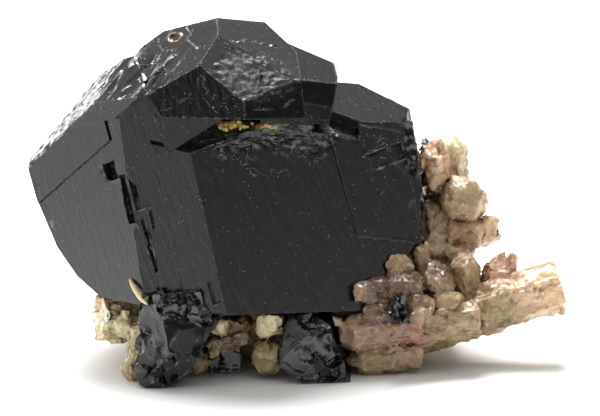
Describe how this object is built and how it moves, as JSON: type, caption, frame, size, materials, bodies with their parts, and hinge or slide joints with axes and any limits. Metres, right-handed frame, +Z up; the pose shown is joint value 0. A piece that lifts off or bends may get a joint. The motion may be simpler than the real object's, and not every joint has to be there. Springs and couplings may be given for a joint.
{
  "type": "uvite tourmaline specimen",
  "caption": "Mineral specimen: large glossy black tourmaline crystal with parallel blocks on iron-stained quartz, with smaller black crystals at its foot.",
  "frame": {"origin": "middle of the underside of the specimen's box, on the surface that it rests on", "axes": "+Z up, the large crystal face to the front at -Y, the long quartz crystal points to +X"},
  "size_m": [0.0616, 0.0406, 0.0404],
  "materials": {
    "black_tourmaline": "glossy black crystal faces with fine growth striations",
    "stained_quartz": "cloudy translucent quartz with orange and brown iron stain"
  },
  "bodies": {
    "root": {"main_tourmaline": "black_tourmaline", "left_tourmaline": "black_tourmaline", "middle_tourmaline": "black_tourmaline", "under_tourmaline": "black_tourmaline", "tiny_tourmaline": "black_tourmaline", "back_tourmaline": "black_tourmaline", "quartz_matrix": "stained_quartz"}
  },
  "joints": []
}
